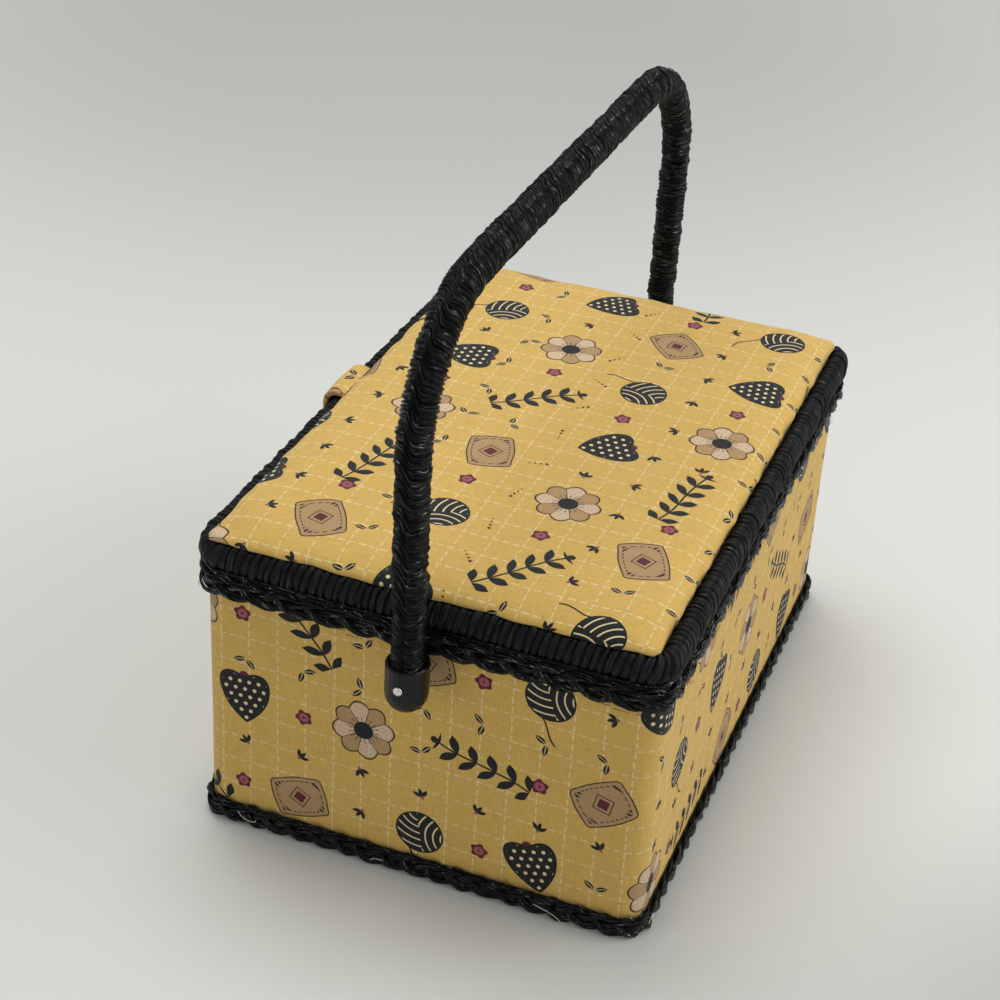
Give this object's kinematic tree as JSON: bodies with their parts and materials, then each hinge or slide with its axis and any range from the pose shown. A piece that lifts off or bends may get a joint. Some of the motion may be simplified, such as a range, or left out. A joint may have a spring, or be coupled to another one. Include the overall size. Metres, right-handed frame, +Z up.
{
  "type": "sewing basket",
  "caption": "Fabric covered sewing basket with a padded hinged lid, corded edges, a swinging bail handle, a snap strap and a lift-out tray.",
  "frame": {"origin": "on the resting plane, under the middle of the basket's body", "axes": "+X along the basket's long side towards its right end, +Y towards the hinge side, +Z up"},
  "size_m": [0.3588, 0.2222, 0.2894],
  "materials": {
    "printed_cotton": "plain woven cotton, yellow with a dashed cream grid and a small scattered print",
    "black_cord": "twisted black paper cord, slightly shiny, wound and braided",
    "grey_board": "pressed grey paperboard",
    "lining_cloth": "plain woven lining",
    "rattan_core": "bare rattan cane",
    "black_plastic": "satin moulded plastic",
    "nickel_steel": "bright nickel plate",
    "snap_steel": "plated magnetic snap",
    "milky_plastic": "moulded milky plastic",
    "pincushion_felt": "stuffed felt"
  },
  "bodies": {
    "root": {"base_board": "grey_board", "front_board": "grey_board", "back_board": "grey_board", "left_end_board": "grey_board", "right_end_board": "grey_board", "outer_cover": "printed_cotton", "inner_lining": "lining_cloth", "base_braid": "black_cord", "rim_braid": "black_cord", "hinge_cord_left": "black_cord", "hinge_cord_right": "black_cord", "tray_ledge_left": "grey_board", "tray_ledge_right": "grey_board", "tray": "milky_plastic", "catch_magnet": "snap_steel", "pivot_rivet_left": "nickel_steel", "pivot_rivet_right": "nickel_steel", "pivot_washer_left": "nickel_steel", "pivot_washer_right": "nickel_steel"},
    "lid": {"lid_trim": "black_cord", "lid_board": "grey_board", "lid_lining": "lining_cloth", "lid_pad": "printed_cotton", "pincushion": "pincushion_felt", "strap_arch": "printed_cotton"},
    "handle": {"handle_core": "rattan_core", "handle_wrap": "black_cord", "handle_socket_left": "black_plastic", "handle_socket_right": "black_plastic"},
    "strap": {"strap_flap": "printed_cotton", "strap_magnet": "snap_steel"}
  },
  "joints": [
    {"name": "lid_hinge", "type": "hinge", "parent": "root", "child": "lid", "pos_m": [0, 0.1085, 0.1367], "axis": [-1, 0, 0], "range_deg": [0, 95]},
    {"name": "handle_swing", "type": "hinge", "parent": "root", "child": "handle", "pos_m": [0, 0, 0.11925], "axis": [-1, 0, 0], "range_deg": [0, 95]},
    {"name": "strap_fold", "type": "hinge", "parent": "lid", "child": "strap", "pos_m": [0, -0.1106, 0.1438], "axis": [-1, 0, 0], "range_deg": [0, 85]}
  ],
  "couplings": [
    {"joint": "handle_swing", "follows": "lid_hinge", "ratio": 1}
  ]
}
